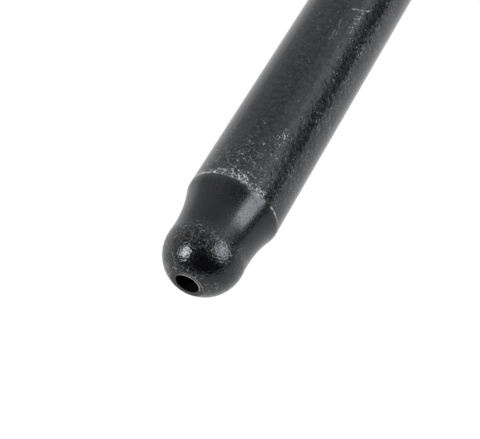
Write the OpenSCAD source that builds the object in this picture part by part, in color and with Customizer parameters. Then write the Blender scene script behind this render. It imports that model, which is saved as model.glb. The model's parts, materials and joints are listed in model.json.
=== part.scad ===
// Engine pushrod: one straight tube with a necked ball formed on each end and an oil passage right through.
// It lies along Y with its middle at the origin. All sizes are in millimetres.

/* [Tube] */
// Outside diameter of the tube
tube_d = 9.525; // [8.8:0.005:11]
// Wall thickness of the tube
tube_wall = 2.03; // [1.5:0.01:2.4]
// Overall length, from flat tip to flat tip
overall_l = 210.3; // [120:0.1:300]

/* [Formed ends] */
// Diameter of the ball on each end
ball_d = 7.9375; // [7:0.0125:8.3]
// How much less than the ball's radius the neck's radius is
neck_relief = 0.04; // [0.02:0.01:0.2]
// Distance from the ball's centre to the start of the flare
neck_l = 1.25; // [0.8:0.05:4]
// Radius of the hollow flare that widens the neck to the tube
flare_r = 11.8; // [8:0.1:20]
// Radius of the rounded shoulder where the flare meets the tube
shoulder_r = 2.1; // [1:0.1:4]
// Width of the flat land around each oil hole
tip_land = 0.5; // [0.3:0.05:0.9]

/* [Oil passage] */
// Diameter of the oil hole in each ball
oil_hole_d = 2.38; // [1.5:0.01:3]
// Length of each straight oil hole, from the flat tip inwards
oil_hole_l = 4.5; // [3:0.1:8]
// Length of the taper that opens each oil hole out to the tube's bore
taper_l = 6; // [3:0.5:15]

/* [Hidden] */
$fn = 96;
// How far one curve runs past the next, so that the two cross and never only touch
overrun = 0.005;
// How far a cutter reaches beyond the surface that it opens
cut_past = 1;

tube_r = tube_d / 2;
bore_r = tube_r - tube_wall;
ball_r = ball_d / 2;
neck_r = ball_r - neck_relief;
hole_r = oil_hole_d / 2;
half_l = overall_l / 2;

// Places along the axis, measured from the middle of the rod
tip_depth = sqrt(pow(ball_r, 2) - pow(hole_r + tip_land, 2));
ball_y = half_l - tip_depth;
flare_y = ball_y - neck_l;
hole_end_y = half_l - oil_hole_l;
taper_end_y = hole_end_y - taper_l;

// The flare's circle lies outside the neck, and the shoulder's circle lies inside the tube
flare_x = neck_r - overrun + flare_r;
round_x = tube_r + overrun - shoulder_r;
round_y = flare_y - sqrt(pow(flare_r + shoulder_r - overrun, 2) - pow(flare_x - round_x, 2));
// Where the line between the two centres leaves the shoulder's circle
round_start_y = round_y + (flare_y - round_y) * shoulder_r / (flare_r + shoulder_r);

// Half of the rod's outer section at one end, from the middle of the rod to the flat tip
module outer_section() {
    intersection() {
        translate([0, ball_y]) circle(ball_r);
        translate([0, flare_y]) square([ball_r + cut_past, half_l - flare_y]);
    }
    translate([0, round_y]) square([neck_r, ball_y - round_y]);
    difference() {
        square([tube_r, flare_y]);
        translate([flare_x, flare_y]) circle(flare_r);
        shoulder_corner();
    }
}

// The sharp corner between the flare and the tube, outside the shoulder's rounding
module shoulder_corner() {
    difference() {
        translate([round_x, round_y]) square([shoulder_r + cut_past, round_start_y - round_y]);
        translate([round_x, round_y]) circle(shoulder_r);
    }
}

// Half of the oil passage's section at one end
module passage_section() {
    square([bore_r, taper_end_y]);
    polygon([[0, taper_end_y], [bore_r, taper_end_y], [hole_r, hole_end_y], [0, hole_end_y]]);
    translate([0, hole_end_y]) square([hole_r, oil_hole_l + cut_past]);
}

// The whole rod, turned about its axis and laid along Y
module pushrod() {
    color([0.16, 0.16, 0.17])
        rotate([90, 0, 0])
            rotate_extrude()
                difference() {
                    for (end = [0, 1]) mirror([0, end]) outer_section();
                    for (end = [0, 1]) mirror([0, end]) passage_section();
                }
}

pushrod();
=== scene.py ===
# %% [markdown]
# # An engine pushrod
#
# A pushrod is a straight steel tube that carries the lift of a cam up to a rocker arm. Each end is
# formed into a ball, with a neck behind it and an oil hole in its tip. The steel is blackened, and
# rubbing has worn it pale along the shoulder where the neck begins. This lesson sets up the camera and a
# small studio, turns the rod on a lathe, in code, and then paints its four finishes.

# %% The fixed frame
import json
import math

import bmesh
import bpy
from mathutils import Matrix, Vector

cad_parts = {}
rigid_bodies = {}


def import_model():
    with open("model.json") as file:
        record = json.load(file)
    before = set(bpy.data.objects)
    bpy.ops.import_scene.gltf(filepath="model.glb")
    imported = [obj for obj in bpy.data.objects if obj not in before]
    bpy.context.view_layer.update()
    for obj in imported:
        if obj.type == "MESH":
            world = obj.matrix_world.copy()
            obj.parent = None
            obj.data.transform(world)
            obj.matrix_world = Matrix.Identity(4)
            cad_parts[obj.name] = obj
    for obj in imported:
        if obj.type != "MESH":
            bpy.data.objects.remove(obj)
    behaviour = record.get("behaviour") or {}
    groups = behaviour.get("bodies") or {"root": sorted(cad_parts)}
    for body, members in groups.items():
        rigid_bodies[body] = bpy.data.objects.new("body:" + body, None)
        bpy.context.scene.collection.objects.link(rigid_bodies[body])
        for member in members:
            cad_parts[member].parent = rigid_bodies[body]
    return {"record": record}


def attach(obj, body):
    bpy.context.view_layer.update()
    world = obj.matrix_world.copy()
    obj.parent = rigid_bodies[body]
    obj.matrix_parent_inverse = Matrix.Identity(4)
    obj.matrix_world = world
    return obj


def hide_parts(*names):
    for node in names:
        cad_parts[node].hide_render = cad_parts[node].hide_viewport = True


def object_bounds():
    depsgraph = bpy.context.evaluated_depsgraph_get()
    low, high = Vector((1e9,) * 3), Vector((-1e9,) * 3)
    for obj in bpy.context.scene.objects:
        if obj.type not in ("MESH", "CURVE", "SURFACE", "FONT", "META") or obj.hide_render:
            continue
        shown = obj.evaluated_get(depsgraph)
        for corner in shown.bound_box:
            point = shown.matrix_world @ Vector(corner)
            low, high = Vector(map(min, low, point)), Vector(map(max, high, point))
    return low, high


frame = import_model()
cad_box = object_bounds()
MM = 0.001
mounts = {mount["name"]: mount for mount in frame["record"]["mounts"]}
print("CAD box in mm:", [[round(c / MM, 2) for c in corner] for corner in cad_box])

# %% [markdown]
# ## The rod's sizes
#
# The construction model already fixes the tube, the oil holes and the places of the balls, so those are
# read from it. The other sizes of the formed end are written here in millimetres. They repeat the
# construction's own values under the same names, because the looks may not change the form.

# %% Sizes of the tube and of one formed end, in millimetres
tube_r = mounts["tube_outside"]["dims"]["r_mm"]
hole_r = mounts["front_oil_hole"]["dims"]["r_mm"]
hole_l = mounts["front_oil_hole"]["dims"]["length_mm"]
ball_s = abs(mounts["front_ball"]["pos_m"][1]) / MM
half_l = cad_box[1].y / MM

tube_wall = 2.03
ball_d = 7.9375
neck_relief = 0.04
neck_l = 1.25
flare_r = 11.8
shoulder_r = 2.1
tip_land = 0.5
taper_l = 6.0

bore_r = tube_r - tube_wall
ball_r = ball_d / 2
neck_r = ball_r - neck_relief
flat_r = hole_r + tip_land
print(f"tube {2 * tube_r:.3f} mm, ball {ball_d:.3f} mm, length {2 * half_l:.1f} mm")

# %% [markdown]
# ## The camera
#
# The camera comes early, because it tells how large each detail will be seen. A long lens of 100 mm
# close to the ball gives the strong but calm foreshortening of a product close-up. The ball's centre is
# laid on one named pixel, so the place of the camera follows from two angles, one distance and that
# pixel. It could also be pushed about by hand, but then nobody could say why it stands where it does.

# %% Camera
IMAGE_W, IMAGE_H = 480, 439
LENS_MM, SENSOR_MM = 100.0, 36.0
AZIMUTH, ELEVATION = math.radians(25.9), math.radians(53.6)
BALL_PIXEL = (204.8, 254.9)
BALL_DEPTH = 123.8 * MM
NEAREST = 10 * MM

ahead = Vector((-math.sin(AZIMUTH), math.cos(AZIMUTH), 0))
right = Vector((math.cos(AZIMUTH), math.sin(AZIMUTH), 0))
forward = ahead * math.cos(ELEVATION) - Vector((0, 0, math.sin(ELEVATION)))
upward = right.cross(forward)
focal_px = LENS_MM / SENSOR_MM * IMAGE_W
ball = Vector((0, -ball_s * MM, 0))
to_ball = (
    forward
    + right * ((BALL_PIXEL[0] - IMAGE_W / 2) / focal_px)
    - upward * ((BALL_PIXEL[1] - IMAGE_H / 2) / focal_px)
)
camera = bpy.data.objects.new("camera", bpy.data.cameras.new("camera"))
camera.data.lens = LENS_MM
camera.data.sensor_width = SENSOR_MM
camera.data.clip_start = NEAREST
camera.location = ball - to_ball * BALL_DEPTH
camera.rotation_euler = forward.to_track_quat("-Z", "Y").to_euler()
bpy.context.scene.collection.objects.link(camera)
bpy.context.scene.camera = camera
bpy.context.scene.view_settings.view_transform = "Standard"
print("camera at", [round(c / MM, 1) for c in camera.location], "mm")

# %% [markdown]
# ## Shader maths in Python
#
# A finish is mostly arithmetic on noise, and arithmetic reads best as plain expressions. `Value` wraps
# one socket and turns `+`, `-`, `*`, `/` and `**` into Math nodes. Two more methods make masks: `step`
# is a soft rise or fall, and `between` rises, holds and falls again.

# %% A socket that can be added and multiplied
class Value:
    def __init__(self, recipe, socket):
        self.recipe = recipe
        self.socket = socket

    def sibling(self, output):
        """Another output of the same node."""
        return Value(self.recipe, self.socket.node.outputs[output])

    def maths(self, operation, *operands):
        return self.recipe.node("ShaderNodeMath", {"operation": operation}, operands)

    def __add__(self, other):
        return self.maths("ADD", self, other)

    def __sub__(self, other):
        return self.maths("SUBTRACT", self, other)

    def __rsub__(self, other):
        return self.maths("SUBTRACT", other, self)

    def __mul__(self, other):
        return self.maths("MULTIPLY", self, other)

    def __truediv__(self, other):
        return self.maths("DIVIDE", self, other)

    def __rtruediv__(self, other):
        return self.maths("DIVIDE", other, self)

    def __pow__(self, other):
        return self.maths("POWER", self, other)

    def __rpow__(self, other):
        return self.maths("POWER", other, self)

    def __abs__(self):
        return self.maths("ABSOLUTE", self)

    __radd__ = __add__
    __rmul__ = __mul__

    def largest(self, other):
        return self.maths("MAXIMUM", self, other)

    def step(self, start, full):
        """A soft rise from 0 at start to 1 at full, whichever of the two is the larger."""
        low, high = min(start, full), max(start, full)
        sockets = {"Value": self, "From Min": low, "From Max": high}
        rise = self.recipe.node("ShaderNodeMapRange", {"interpolation_type": "SMOOTHSTEP"}, sockets)
        return rise if start < full else 1 - rise

    def between(self, start, full, fade, end):
        """A soft rise from start to full, then 1, and a soft fall from fade to end."""
        return self.step(start, full) * self.step(end, fade)


print("Value ready")

# %% [markdown]
# ## Any other node
#
# `Recipe` holds the node tree of one material or world. Its one method `node` makes every other kind of
# node: the settings are set first, because some of them change which sockets there are, and then the
# sockets get values or links. Colours are blended by a Mix node, since a Math node would turn them grey.

# %% A recipe of nodes
MIX_FIRST, MIX_SECOND, MIX_RESULT = 6, 7, 2


class Recipe:
    def __init__(self, owner):
        """An empty node tree for a material or a world."""
        owner.use_nodes = True
        self.tree = owner.node_tree
        self.tree.nodes.clear()

    def node(self, kind, settings=None, sockets=(), output=0):
        made = self.tree.nodes.new(kind)
        for name, setting in (settings or {}).items():
            setattr(made, name, setting)
        for key, given in sockets.items() if isinstance(sockets, dict) else enumerate(sockets):
            if isinstance(given, Value):
                self.tree.links.new(given.socket, made.inputs[key])
            else:
                made.inputs[key].default_value = given
        return Value(self, made.outputs[output])

    def mix(self, share, first, second):
        """A colour between two colours."""
        sockets = {"Factor": share, MIX_FIRST: first, MIX_SECOND: second}
        return self.node("ShaderNodeMix", {"data_type": "RGBA", "clamp_factor": True}, sockets, MIX_RESULT)

    def finish(self, shader, kind="ShaderNodeOutputMaterial"):
        """Link the shader to the tree's output, and say how many nodes were needed."""
        target = self.tree.nodes.new(kind)
        self.tree.links.new(shader.socket, target.inputs["Surface"])
        return len(self.tree.nodes)


print("Recipe ready")

# %% [markdown]
# ## The table
#
# The rod lies on a white table without a visible edge, as in a catalogue picture. A bright lamp could
# wash a pale floor out to white, but it would spoil the light on the rod. So the paint is grey and keeps
# the rod's soft shadow, and an even glow is added that only the camera and mirror-like reflections see.
# The table is very large, so that it fills the picture from low angles too.

# %% White table
TABLE_HALF = 30.0
PAINT = 0.12
LIFT = 0.92

table_mesh = bpy.data.meshes.new("table")
corners = [(x * TABLE_HALF, y * TABLE_HALF, -tube_r * MM) for x, y in ((-1, -1), (1, -1), (1, 1), (-1, 1))]
table_mesh.from_pydata(corners, [], [(0, 1, 2, 3)])
table = bpy.data.objects.new("table", table_mesh)
bpy.context.scene.collection.objects.link(table)

table_paint = bpy.data.materials.new("white_table")
recipe = Recipe(table_paint)
rays = recipe.node("ShaderNodeLightPath", output="Is Camera Ray")
seen = rays.largest(rays.sibling("Is Glossy Ray")).largest(rays.sibling("Is Transmission Ray"))
paint = recipe.node("ShaderNodeBsdfDiffuse", sockets={"Color": (PAINT, PAINT, PAINT, 1)})
lift = recipe.node("ShaderNodeEmission", sockets={"Strength": seen * LIFT})
node_count = recipe.finish(recipe.node("ShaderNodeAddShader", sockets=(paint, lift)))
table_mesh.materials.append(table_paint)
print("table", 2 * TABLE_HALF, "m square, its paint made of", node_count, "nodes")

# %% [markdown]
# ## Two soft lamps
#
# A large soft lamp stands to the right of the camera and a smaller one to the left. Their reflections
# are the two bright patches on the ball and the long streak down the neck. A lamp's power is spread over
# its face, so each lamp is given by its size and by how bright its face looks. The light is slightly
# warm, because the black skin of the steel tints reflections blue.

# %% Soft lamps
LAMP_DISTANCE = 0.5
WARM = (1.0, 0.98, 0.94)


def soft_lamp(name, towards, width, height, radiance):
    """A flat lamp that faces the ball and stands in this direction from it. Its sizes are in metres."""
    lamp = bpy.data.objects.new(name, bpy.data.lights.new(name, "AREA"))
    lamp.data.shape = "RECTANGLE"
    lamp.data.size = width
    lamp.data.size_y = height
    lamp.data.energy = radiance * math.pi * width * height
    lamp.data.color = WARM
    lamp.location = ball + towards.normalized() * LAMP_DISTANCE
    lamp.rotation_euler = towards.to_track_quat("Z", "Y").to_euler()
    bpy.context.scene.collection.objects.link(lamp)
    print(f"{name}: {width} by {height} m at {LAMP_DISTANCE} m, {lamp.data.energy:.2f} W")


soft_lamp("right_lamp", towards=Vector((0.786, 0.096, 0.610)), width=0.285, height=0.315, radiance=8.9)
soft_lamp("left_lamp", towards=Vector((-0.600, -0.580, 0.552)), width=0.165, height=0.235, radiance=20.5)

# %% [markdown]
# ## The room
#
# Black steel shows little but what it reflects, so the room's pale and dark zones shape the metal. The
# room is dark behind the camera and pale beyond the rod. A glow and a brighter window stand to the
# right, and beyond them a dark corner reaches down to the table: that corner is the dark band along the
# tube. The zones are drawn by how far a direction leans over from straight up towards +X, in degrees.
# Near the rod's end the corner's edge slants, so that the band bends as it nears the shoulder. A picture
# of a real room would do too, but a few soft steps are easier to place.

# %% Room
DEGREES = math.degrees(1)
ROOM_DARK, ROOM_PALE, GLOW, WINDOW = 0.03, 1.0, 0.55, 1.3
PALE_AHEAD = (-0.15, 0.5)
GLOW_STARTS, GLOW_ENDS = (-6, 12), (57, 43)
WINDOW_STARTS, WINDOW_ENDS = (26, 38), (52, 38)
CORNER_STARTS, CORNER_DEPTH = (52, 66), 0.93
SLANT, SLANT_FROM, SLANT_FADES = 320, 0.61, (0.50, 0.56)

world = bpy.data.worlds.new("room")
bpy.context.scene.world = world
recipe = Recipe(world)
across = recipe.node("ShaderNodeSeparateXYZ", sockets=[recipe.node("ShaderNodeTexCoord")], output="X")
along = across.sibling("Y")
lean = across.maths("ARCTAN2", across, across.sibling("Z")) * DEGREES
slanted_lean = lean - SLANT * (SLANT_FROM - along).largest(0) * along.step(*SLANT_FADES)
glow = lean.step(*GLOW_STARTS) * slanted_lean.step(*GLOW_ENDS)
window = lean.step(*WINDOW_STARTS) * slanted_lean.step(*WINDOW_ENDS)
dark_corner = slanted_lean.step(*CORNER_STARTS)
lit_wall = ROOM_PALE - ROOM_DARK + GLOW * glow + WINDOW * window
room = ROOM_DARK + along.step(*PALE_AHEAD) * lit_wall * (1 - CORNER_DEPTH * dark_corner)
background = recipe.node("ShaderNodeBackground", sockets={"Strength": room})
node_count = recipe.finish(background, "ShaderNodeOutputWorld")
print("room from", ROOM_DARK, "to", ROOM_PALE + GLOW + WINDOW, "made of", node_count, "nodes")

# %% [markdown]
# ## The half section
#
# A round part is best drawn as its half section, which a lathe then turns about the axis. The section is
# a list of points: r is the distance from the axis and s the distance from the middle of the rod. Every
# round stretch is an arc with many points, so that the close-up shows no facets, and the rim of the oil
# hole is broken by a tiny arc that catches the light.

# %% Arcs of one formed end
def arc(centre, radius, start, stop, count):
    """Points (r, s) on a circle, from one angle to another. Angle 0 points straight out from the axis."""
    angles = [start + (stop - start) * i / (count - 1) for i in range(count)]
    return [(centre[0] + radius * math.cos(a), centre[1] + radius * math.sin(a)) for a in angles]


RIM = 0.03
SHOULDER_POINTS, FLARE_POINTS, BALL_POINTS, RIM_POINTS = 10, 28, 56, 4

flare_s = ball_s - neck_l
flare_centre = (neck_r + flare_r, flare_s)
centres_r = flare_centre[0] - (tube_r - shoulder_r)
round_s = flare_s - math.sqrt((flare_r + shoulder_r) ** 2 - centres_r ** 2)
round_centre = (tube_r - shoulder_r, round_s)
turn = math.asin((flare_s - round_s) / (flare_r + shoulder_r))
ball_start = -math.acos(neck_r / ball_r)
ball_stop = math.acos(flat_r / ball_r) - RIM / ball_r

shoulder = arc(round_centre, shoulder_r, 0, turn, SHOULDER_POINTS)
flare = arc(flare_centre, flare_r, math.pi + turn, math.pi, FLARE_POINTS)
ball_arc = arc((0, ball_s), ball_r, ball_start, ball_stop, BALL_POINTS)
hole_rim = arc((hole_r + RIM, half_l - RIM), RIM, math.pi / 2, math.pi, RIM_POINTS)
print("shoulder starts", round(ball_s - round_s, 2), "mm from the ball's centre")

# %% [markdown]
# ## From the middle to the tip and back inside
#
# The section runs along the outside of the tube, over the shoulder, neck and ball to the flat tip, and
# back through the oil passage to the middle. Each point carries the finish of the stretch that starts
# there, because one turned mesh then needs no seams where the finish changes.

# %% Half section with its finishes
TUBE_RINGS = 14
TUBE, END, FLAT, PASSAGE = range(4)

tube_line = [(tube_r, round_s * i / TUBE_RINGS) for i in range(TUBE_RINGS)]
flat_line = [(r, half_l) for r in (flat_r - RIM, flat_r - 2 * RIM, hole_r + 2 * RIM)]
hole_wall = [(hole_r, half_l - 2 * RIM), (hole_r, half_l - hole_l / 2)]
taper = [(hole_r, half_l - hole_l), (bore_r, half_l - hole_l - taper_l)]
bore_line = [(bore_r, round_s * i / TUBE_RINGS) for i in range(TUBE_RINGS - 1, -1, -1)]
stretches = (
    (TUBE, tube_line),
    (END, shoulder + flare[1:] + ball_arc),
    (FLAT, flat_line + hole_rim[:1]),
    (PASSAGE, hole_rim[1:] + hole_wall + taper + bore_line),
)
section = [(r, s, finish) for finish, points in stretches for r, s in points]
print(len(section), "points in the half section")

# %% [markdown]
# ## The lathe
#
# On a real rod the ends are pressed, but every form on it is round, so turning gives the same shape.
# Blender's Spin tool or a Screw modifier would do it as well. Joining ring to ring in a short loop keeps
# hold of which stretch each face belongs to, and so of its finish.

# %% Lathe
STEPS = 192


def turned(name, rings):
    """A closed mesh from rings (radius, place along Y, finish). The last ring joins the first."""
    angles = [2 * math.pi * k / STEPS for k in range(STEPS)]
    mesh = bmesh.new()
    circles = []
    for r, y, _ in rings:
        corners = [(r * math.sin(a) * MM, y * MM, r * math.cos(a) * MM) for a in angles]
        circles.append([mesh.verts.new(corner) for corner in corners])
    for i, (_, _, finish) in enumerate(rings):
        here = circles[i]
        after = circles[(i + 1) % len(circles)]
        for k in range(STEPS):
            face = mesh.faces.new((here[k], here[k - 1], after[k - 1], after[k]))
            face.material_index = finish
            face.smooth = True
    bmesh.ops.recalc_face_normals(mesh, faces=mesh.faces)
    data = bpy.data.meshes.new(name)
    mesh.to_mesh(data)
    mesh.free()
    made = bpy.data.objects.new(name, data)
    bpy.context.scene.collection.objects.link(made)
    return made


front_half = [(r, -s, finish) for r, s, finish in section]
# The rear half runs the other way, so a ring there takes the finish of the point before it
rear_half = [(r, s, finish) for (_, _, finish), (r, s, _) in zip(section, section[1:])][::-1]
pushrod = turned("pushrod_body", front_half[:-1] + rear_half)
print("pushrod_body:", len(pushrod.data.polygons), "faces")

# %% [markdown]
# ## Where a point lies on the rod
#
# Wear and dirt follow the rod's own shape, so each finish first works out where it is: the place in
# millimetres, how far it lies from the shoulder line and from the ball's centre, how far from the axis,
# and the angle round the rod. Angle 0 is the top, and at the front end angles grow towards +X. At the
# rear end they grow the other way, so the same kind of wear appears there, turned half round. A picture
# wrapped round the rod would do too, but it would show a seam.

# %% Places on the rod
LINE_TILT = 0.15
MM_PER_DEGREE = tube_r / DEGREES
# Two kinds of noise, each as (detail, roughness)
SMOOTH = (2.0, 0.4)
CRUMBLY = (3.0, 0.6)


class Place:
    def __init__(self, recipe):
        self.recipe = recipe
        metres = recipe.node("ShaderNodeTexCoord", output="Object")
        self.mm = recipe.node("ShaderNodeVectorMath", {"operation": "SCALE"}, {0: metres, "Scale": 1 / MM})
        x = recipe.node("ShaderNodeSeparateXYZ", sockets=[self.mm], output="X")
        y = x.sibling("Y")
        z = x.sibling("Z")
        from_middle = abs(y)
        self.above_line = round_s - from_middle + x * (LINE_TILT / tube_r)
        self.past_ball = from_middle - ball_s
        self.from_axis = (x * x + z * z) ** 0.5
        turned_x = x * y.maths("SIGN", y) * -1
        self.angle = x.maths("ARCTAN2", turned_x, z) * DEGREES

    def noise(self, per_mm, detail=2.0, roughness=0.55):
        """Cloudy noise from 0 to 1, with about this many clouds in a millimetre."""
        sockets = {"Vector": self.mm, "Scale": per_mm, "Detail": detail, "Roughness": roughness}
        return self.recipe.node("ShaderNodeTexNoise", sockets=sockets)


print(f"shoulder line at {round_s:.2f} mm and ball's centre at {ball_s:.2f} mm from the middle")

# %% [markdown]
# ## Flecks and threads
#
# Rubbed steel is covered with pale flecks and fine wandering threads. Both come from noise: a fleck is
# where the noise stands above a level, and a thread is where it crosses its middle. Crowding lowers that
# level, so flecks grow denser without changing their places. Dull pocks, which break up a reflection, are
# made in the same way as flecks. All these could also be scattered as small objects, but there would be
# thousands of them.

# %% Marks made of noise
NOISE_MIDDLE = 0.5
FLECK_LEVEL, FLECK_CROWDING, FLECK_EDGE = 0.66, 0.16, 0.05
THREADS_PER_MM, THREAD_HALF, THREAD_CORE = 3.4, 0.06, 0.02
POCKS_PER_MM = 6.5


def flecks(place, per_mm, crowd):
    """1 on ragged flecks and 0 between them. They are few at crowd 0 and cover much at crowd 1."""
    return (place.noise(per_mm, *CRUMBLY) + FLECK_CROWDING * crowd - FLECK_LEVEL).step(0, FLECK_EDGE)


def threads(place):
    """1 on thin wandering lines and 0 between them."""
    from_middle = abs(place.noise(THREADS_PER_MM, roughness=0.5) - NOISE_MIDDLE)
    return from_middle.step(THREAD_HALF, THREAD_CORE)


def pocks(place):
    """1 on small dull pocks and 0 between them."""
    return place.noise(POCKS_PER_MM).step(0.5, 0.62)


def clumps(place):
    """Higher and lower crowding, from 0.4 to 1, in clumps of about half a millimetre."""
    return 0.4 + 0.6 * place.noise(1.6).step(0.40, 0.62)


def brightness(place):
    """How bright each mark is, from 0.15 to 1. Most are dim."""
    return 0.15 + 0.85 * place.noise(3.1, detail=3.0).step(0.42, 0.68) ** 1.6


print("fleck level", FLECK_LEVEL, "lowered by", FLECK_CROWDING, "where flecks crowd")

# %% [markdown]
# ## Rubbed patches and scratches
#
# A few marks have their own places: oval patches where something rubbed, and thin scratches. Each is
# given in the rod's own terms, as millimetres above the shoulder line and degrees round the rod, so it
# stays put if the camera moves.

# %% Marks with a place of their own
SCRATCH_HALF, SCRATCH_CORE, SCRATCH_TIP = 0.1, 0.03, 0.3
SCRATCH_WAVE = 0.7


def patch(place, above, angle, half_length, half_width, strength):
    """This strength in the middle of an oval patch, falling to 0 at its edge."""
    along = (place.above_line - above) / half_length
    around = (place.angle - angle) * (MM_PER_DEGREE / half_width)
    return strength * (1 - along * along - around * around).largest(0)


def scratch(place, start, end, strength):
    """This strength on a thin wavy scratch between two places, each as (mm above the line, angle)."""
    rise = end[0] - start[0]
    sweep = (end[1] - start[1]) * MM_PER_DEGREE
    length = math.hypot(rise, sweep)
    up = place.above_line - start[0]
    around = (place.angle - start[1]) * MM_PER_DEGREE
    along = up * (rise / length) + around * (sweep / length)
    wave = (place.noise(1.2, detail=1.0) - NOISE_MIDDLE) * SCRATCH_WAVE
    aside = abs(around * (rise / length) - up * (sweep / length) + wave)
    return strength * aside.step(SCRATCH_HALF, SCRATCH_CORE) * along.between(
        0, SCRATCH_TIP, length - SCRATCH_TIP, length
    )


print("one degree round the tube is", round(MM_PER_DEGREE, 3), "mm")

# %% [markdown]
# ## Blackened steel
#
# The black is a thin oxide skin with a trace of oil. It has almost no colour of its own and shines like
# varnish, so the shader is a dark base under a plain gloss, not a metal. Where the skin is rubbed or
# dusty, a pale dull colour takes over, and the same pale colour also carries the painted glints and
# painted reflections. All finishes on the outside share this one shader and differ only in their masks.

# %% One shader for all the black steel
BLACK = (0.002, 0.0021, 0.0024, 1)
PALE = (0.475, 0.485, 0.5, 1)
COOL = (0.79, 0.825, 0.92, 1)
SKIN_IOR = 1.47
PALE_DULLING = 0.4


def black_steel(recipe, pale_share, roughness, height, height_mm, ior=SKIN_IOR):
    """Finish the recipe, with this share of the black covered by pale, and return its node count."""
    sockets = {"Strength": 1.0, "Distance": height_mm * MM, "Height": height}
    bump = recipe.node("ShaderNodeBump", sockets=sockets)
    return recipe.finish(recipe.node("ShaderNodeBsdfPrincipled", sockets={
        "Base Color": recipe.mix(pale_share, BLACK, PALE),
        "Roughness": roughness + pale_share * PALE_DULLING,
        "IOR": ior,
        "Specular Tint": COOL,
        "Normal": bump,
    }))


print("black steel reflects", f"{((SKIN_IOR - 1) / (SKIN_IOR + 1)) ** 2:.3f}", "straight on")

# %% [markdown]
# ## The worn shoulder
#
# Rubbing has bared the steel where the tube turns into the neck. At the top of the rod it is a ragged
# band of crumbs and threads that hangs a little over the edge. Further round it thins out to a clean
# line. The band lies across the border of two finishes, so it is one function that both of them use.

# %% Worn shoulder
RAGGED_ANGLES = (-80, -50, 43, 53)
BAND_MM, BAND_TOP_MM, BAND_TOP, BAND_SIDES = 0.5, 0.6, -3, (28, 8)
OVERHANG_MM, DRIP_MM, DRIP_ANGLES = 0.06, 0.3, (5, 20)
CRUMBS_PER_MM = 5.2
# Where the tube's reflected dark band crosses the shoulder, the clean line breaks off: painted shade.
DARK_BAND_GAP_ANGLES = (40, 48, 54, 58)
LINE_WIDTH = (-0.1, -0.03, 0.08, 0.18)
LINE_FAINT = 0.1
# Each side of the clean line: strength, the angles where it starts, how much it fades, and where
LINE_SIDES = (
    (0.55, (51, 55), 0.6, (64, 90)),
    (0.9, (-24, -40), 0.67, (-70, -110)),
)


def ragged_band(place):
    """Crumbs and threads of bare steel on the top of the shoulder."""
    top = abs(place.angle - BAND_TOP).step(*BAND_SIDES)
    reach = (BAND_MM + BAND_TOP_MM * top) * (0.4 + 1.1 * place.noise(1.3).step(0.35, 0.65))
    overhang = OVERHANG_MM + DRIP_MM * place.angle.step(*DRIP_ANGLES) * place.noise(1.7).step(0.4, 0.6)
    in_band = (place.above_line / reach).step(1.2, 0.5) * (place.above_line + overhang).step(0, 0.08)
    bright = brightness(place)
    crowd = 0.1 + place.noise(2.2).step(0.42, 0.6)
    crumbs = flecks(place, CRUMBS_PER_MM, crowd) * (0.45 + 0.55 * bright)
    hairs = threads(place) * (0.08 + 0.6 * bright)
    return place.angle.between(*RAGGED_ANGLES) * in_band * crumbs.largest(hairs)


def clean_line(place):
    """A thin pale line of bare steel on both sides of the ragged band, which fades towards the underside
    and breaks off in painted shade where the dark band crosses.
    """
    edge = place.above_line.between(*LINE_WIDTH) * (1 - place.angle.between(*DARK_BAND_GAP_ANGLES))
    strength = LINE_FAINT
    for full, starts, loss, fades in LINE_SIDES:
        strength += full * place.angle.step(*starts) * (1 - loss * place.angle.step(*fades))
    return edge * strength * place.noise(3.0, *CRUMBLY).step(0.38, 0.54)


def shoulder_wear(place):
    """How far the shoulder is worn bare, from 0 to 1."""
    return ragged_band(place).largest(clean_line(place))


print("ragged band from", RAGGED_ANGLES[0], "to", RAGGED_ANGLES[-1], "degrees round the rod")

# %% [markdown]
# ## The tube's finish
#
# The tube was left as it was rolled: fine grain breaks up its reflections, and pale flecks cling to it.
# They crowd above the shoulder, where the rod was rubbed most. Up the tube they thin out in loose
# clusters on the side that catches the lamp, and there they are partly specks and partly painted glints.
# First come the masks that say where the tube is rubbed and where it glints. They all end before the
# middle of the rod, so the two halves meet in an even black.

# %% Rolled tube, where it is rubbed and where it glints
RUBBED_ANGLES = (-80, -45, 36, 56)
GLINT_ANGLES = (18, 40, 80, 108)
RIGHT_ANGLES = (48, 60)
HAZE_REACH = (9.0, 1.0)
END_REACH = (65, 40)
# Each patch: mm above the line, angle, half length and half width in mm, strength
RUBBED_PATCHES = (
    (6.7, 25, 1.6, 0.7, 1.0),
    (24.2, 28, 2.8, 0.5, 0.85),
    (21.8, 52, 1.6, 0.6, 0.5),
)
rolled_tube = bpy.data.materials.new("rolled_tube")
recipe = Recipe(rolled_tube)
place = Place(recipe)
haze = place.above_line.step(*HAZE_REACH) * (0.2 + 0.8 * place.angle.between(*RUBBED_ANGLES))
near_end = place.above_line.step(*END_REACH)
# The side that catches the lamp: flecks crowd there in loose clusters, partly specks and partly painted
# glints.
lamp_glint_side = near_end * place.angle.between(*GLINT_ANGLES)
right_glint_side = lamp_glint_side * place.angle.step(*RIGHT_ANGLES)
glint_clusters = place.noise(0.6).step(0.36, 0.56) * lamp_glint_side
patches = sum(patch(place, *where) for where in RUBBED_PATCHES)
crowd = (0.7 * glint_clusters).largest(1.05 * haze) * clumps(place) + 0.6 * patches - 0.15
print("haze up to", HAZE_REACH[0], "mm above the shoulder,", len(RUBBED_PATCHES), "rubbed patches")

# %% [markdown]
# ## Flecks, dust and grain of the tube
#
# Two layers of flecks share that crowding: fine dim ones, and fewer bright ones. Scratches and the worn
# shoulder lie over them, and thin dust and stains lift the black a little. The grain is a shallow
# ripple, a bump rather than geometry, because it is only hundredths of a millimetre deep.

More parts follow.
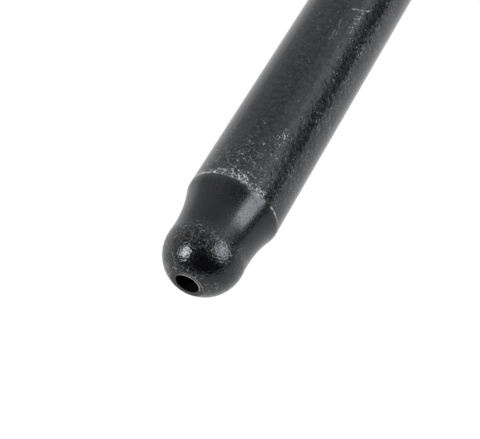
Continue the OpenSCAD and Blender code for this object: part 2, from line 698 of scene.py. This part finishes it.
# %% Rolled tube, its marks and its shader
# Each scratch: start and end as (mm above the line, angle), strength
SCRATCHES = (
    ((25.1, 14), (26.5, 37), 0.55),
    ((23.6, 12), (20.0, 11), 0.1),
    ((22.6, 15.5), (20.8, 15), 0.08),
)
FINE_PER_MM, BRIGHT_PER_MM = 7.0, 5.4
TUBE_PALE, STAIN, DUST, DUST_THREADS = 0.002, 0.028, 0.01, 0.18
DUSTY_SIDE = -70
RIPPLE_ANGLES = (5, 35, 58, 82)
RIPPLE_MM = 0.066

bright = brightness(place)
# On the right of the lamp's side the fine flecks are denser and brighter: painted glints.
fine_strength = 0.03 + 0.17 * bright + 0.12 * right_glint_side
fine_flecks = flecks(place, FINE_PER_MM, crowd + 0.15 * right_glint_side) * fine_strength
bright_strength = 0.18 + 0.55 * bright + 0.5 * patches
bright_flecks = flecks(place, BRIGHT_PER_MM, 0.43 * crowd + 0.4 * patches) * bright_strength
unbroken = sum(scratch(place, *where) for where in SCRATCHES)
scratches = unbroken * place.noise(2.0, *CRUMBLY).step(0.38, 0.58)
pale = fine_flecks.largest(bright_flecks).largest(shoulder_wear(place)).largest(scratches)
stain = STAIN * (0.8 - 0.65 * haze) * place.noise(2.1, *CRUMBLY).step(0.40, 0.62)
settled = abs(place.angle - DUSTY_SIDE).step(75, 40)
dust = haze * (DUST * settled + DUST_THREADS * threads(place) * bright)
grain = place.noise(1.9, roughness=0.45)
ripple = (grain - NOISE_MIDDLE) * (0.2 + 0.8 * near_end * place.angle.between(*RIPPLE_ANGLES))
roughness = 0.12 + 0.06 * grain + 0.14 * pocks(place)
node_count = black_steel(recipe, TUBE_PALE + stain + dust + pale, roughness, ripple, RIPPLE_MM)
print("rolled_tube:", node_count, "nodes,", len(SCRATCHES), "scratches")

# %% [markdown]
# ## The formed end's finish
#
# The neck and ball were pressed to shape and are smoother than the tube. The ball has worked in its cup,
# so it is mottled and lightly pitted, with a crowd of flecks in a collar behind its middle and on its
# front. One zone was polished by the cup and stays black and glossy. A zone on the ball's upper left
# takes a painted reflection, and the left side of the neck a painted sheen. The masks count millimetres
# past the ball's centre, so that they sit on the ball wherever the rod's end lies.

# %% Formed end, where it is worn and where reflection is painted
BALL_STARTS = (-1.6, -0.4)
FRONT_STARTS = (1.8, 2.8)
# Each zone: mm past the ball's centre, its middle angle, and how far to each side of that it fades out
COLLAR = ((-0.6, 0.2, 1.0, 1.9), -10, (70, 35))
POLISHED = ((1.5, 2.3, 2.8, 3.3), 18, (58, 34))
# This zone on the ball's upper left is a painted reflection: pale laid where the reflected room leaves the
# ball too dark.
PAINTED_REFLECTION_PATCH = ((0.2, 1.2, 2.0, 2.8), -65, (53, 31))


def ball_zone(place, reach, middle, fades):
    """1 on a zone of the ball and 0 outside it."""
    return place.past_ball.between(*reach) * abs(place.angle - middle).step(*fades)


formed_end = bpy.data.materials.new("formed_end")
recipe = Recipe(formed_end)
place = Place(recipe)
on_ball = place.past_ball.step(*BALL_STARTS)
collar = ball_zone(place, *COLLAR)
polished = ball_zone(place, *POLISHED)
painted_reflection_patch = ball_zone(place, *PAINTED_REFLECTION_PATCH)
tip_front = place.past_ball.step(*FRONT_STARTS) * (1 - polished)
print("wear starts", -BALL_STARTS[0], "mm behind the ball's centre")

# %% [markdown]
# ## Flecks, pits and gloss of the formed end
#
# With the zones known, the flecks and the mottle are only told how strong to be in each of them. Pits
# are a fine bump that breaks the lamps' reflections on the ball into crumbs. Small dull pocks in the
# roughness do the same to the streak down the neck.

# %% Formed end, its marks and its shader
# The second and third strengths here are painted reflections: a patch on the ball's upper left and a sheen
# on the neck's left side.
MOTTLE, REFLECTION_PATCH_PAINT, SHEEN_PAINT = 0.026, 0.05, 0.038
SHEEN_NECK_REACH, SHEEN_ANGLES = (-1.0, -5.5), (-170, -110, -28, 35)
BALL_FLECKS_PER_MM, PITS_PER_MM = 5.5, 4.5
PIT_MM = 0.042

crowd = on_ball * (0.7 + 0.3 * collar + 0.3 * tip_front - 1.2 * polished) * clumps(place) - 0.2
# The collar's flecks are brighter, so that some stand as painted glints in the lamp's reflection. The rest
# are worn specks.
fleck_strength = (0.1 + brightness(place)) * (0.3 + 0.14 * collar + 0.3 * tip_front)
ball_flecks = flecks(place, BALL_FLECKS_PER_MM, crowd) * fleck_strength
mottle = place.noise(3.4, *CRUMBLY).step(0.42, 0.62) * on_ball * (1 + collar - 0.2 * tip_front - polished)
# The neck's left side is lifted by a painted sheen, a pale share that stands in for reflected light.
painted_sheen = place.past_ball.step(*SHEEN_NECK_REACH) * place.angle.between(*SHEEN_ANGLES)
pale = ball_flecks.largest(shoulder_wear(place)) + SHEEN_PAINT * painted_sheen + REFLECTION_PATCH_PAINT * painted_reflection_patch + MOTTLE * mottle
pits = place.noise(PITS_PER_MM, *SMOOTH)
roughness = 0.19 - 0.05 * on_ball + 0.06 * pits + (0.16 + 0.1 * on_ball - 0.14 * polished) * pocks(place)
pitting = pits * (0.2 + 0.8 * on_ball - 0.35 * polished)
node_count = black_steel(recipe, pale, roughness, pitting, PIT_MM)
print("formed_end:", node_count, "nodes")

# %% [markdown]
# ## The flat tip
#
# The oil hole opens in a small flat on the ball's tip. Its two rims, at the hole and at the ball, carry
# painted highlights on the upper side, where their rounded edges would catch the light. The face between
# them is a dull black that shines less than the ball, with a painted sheen on its lower side. It is a
# finish of its own, because the distance from the axis places these rims better than any angle.

# %% Flat tip
HOLE_RIM, HOLE_RIM_ANGLES = (0.2, 0.12), (-60, -10, 80, 120)
LAND_RIM, LAND_RIM_ANGLES = (-0.16, -0.08), (-30, 10, 70, 110)
LAND_RIM_SHARE = 0.7
# The face's pale share on its lower side is a painted sheen.
FACE_SHEEN_PAINT, CLEAR_ANGLES = 0.05, (-80, -20, 80, 120)
FACE_IOR = 1.28
FACE_GRAIN_MM = 0.02

flat_tip = bpy.data.materials.new("flat_tip")
recipe = Recipe(flat_tip)
place = Place(recipe)
# The bright lines on both rims are painted highlights, on the upper side where the rounded edges catch the
# light.
hole_rim_highlight = (place.from_axis - hole_r).step(*HOLE_RIM) * place.angle.between(*HOLE_RIM_ANGLES)
land_rim_highlight = (place.from_axis - flat_r).step(*LAND_RIM) * place.angle.between(*LAND_RIM_ANGLES)
painted_rim_highlights = hole_rim_highlight.largest(land_rim_highlight * LAND_RIM_SHARE) * place.noise(2.5).step(0.25, 0.5)
# The lower side of the face is made a little paler: a painted sheen.
painted_sheen = FACE_SHEEN_PAINT * (1 - place.angle.between(*CLEAR_ANGLES))
grain = place.noise(PITS_PER_MM, *SMOOTH)
node_count = black_steel(recipe, painted_rim_highlights + painted_sheen, 0.2 + 0.1 * grain, grain, FACE_GRAIN_MM, FACE_IOR)
print("flat_tip:", node_count, "nodes")

# %% [markdown]
# ## The oil passage
#
# The passage is coated with dark oil, and hardly any light comes back out of it. A hole painted black on
# the surface would look flat from the side. Here the passage is real geometry, so its finish only has to
# be dull and nearly black.

# %% Oil passage
OIL_DARK = (0.0008, 0.0008, 0.0009, 1)
OIL_PALE = (0.0028, 0.0028, 0.003, 1)
OIL_GLOSS = 0.1

oil_passage = bpy.data.materials.new("oil_passage")
recipe = Recipe(oil_passage)
oil = Place(recipe).noise(2.0, detail=3.0)
node_count = recipe.finish(recipe.node("ShaderNodeBsdfPrincipled", sockets={
    "Base Color": recipe.mix(oil, OIL_DARK, OIL_PALE),
    "Roughness": 0.5 + 0.3 * oil,
    "Specular IOR Level": OIL_GLOSS,
}))
print("oil_passage:", node_count, "nodes")

# %% [markdown]
# ## Dressing the rod
#
# The finishes go onto the mesh in the order in which its faces count them. The rod then takes the place
# of the construction's solid and rides on its one body.

# %% Finishes and body
for finish in (rolled_tube, formed_end, flat_tip, oil_passage):
    pushrod.data.materials.append(finish)
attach(pushrod, "root")
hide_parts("pushrod")
print(pushrod.name, "wears", [finish.name for finish in pushrod.data.materials])
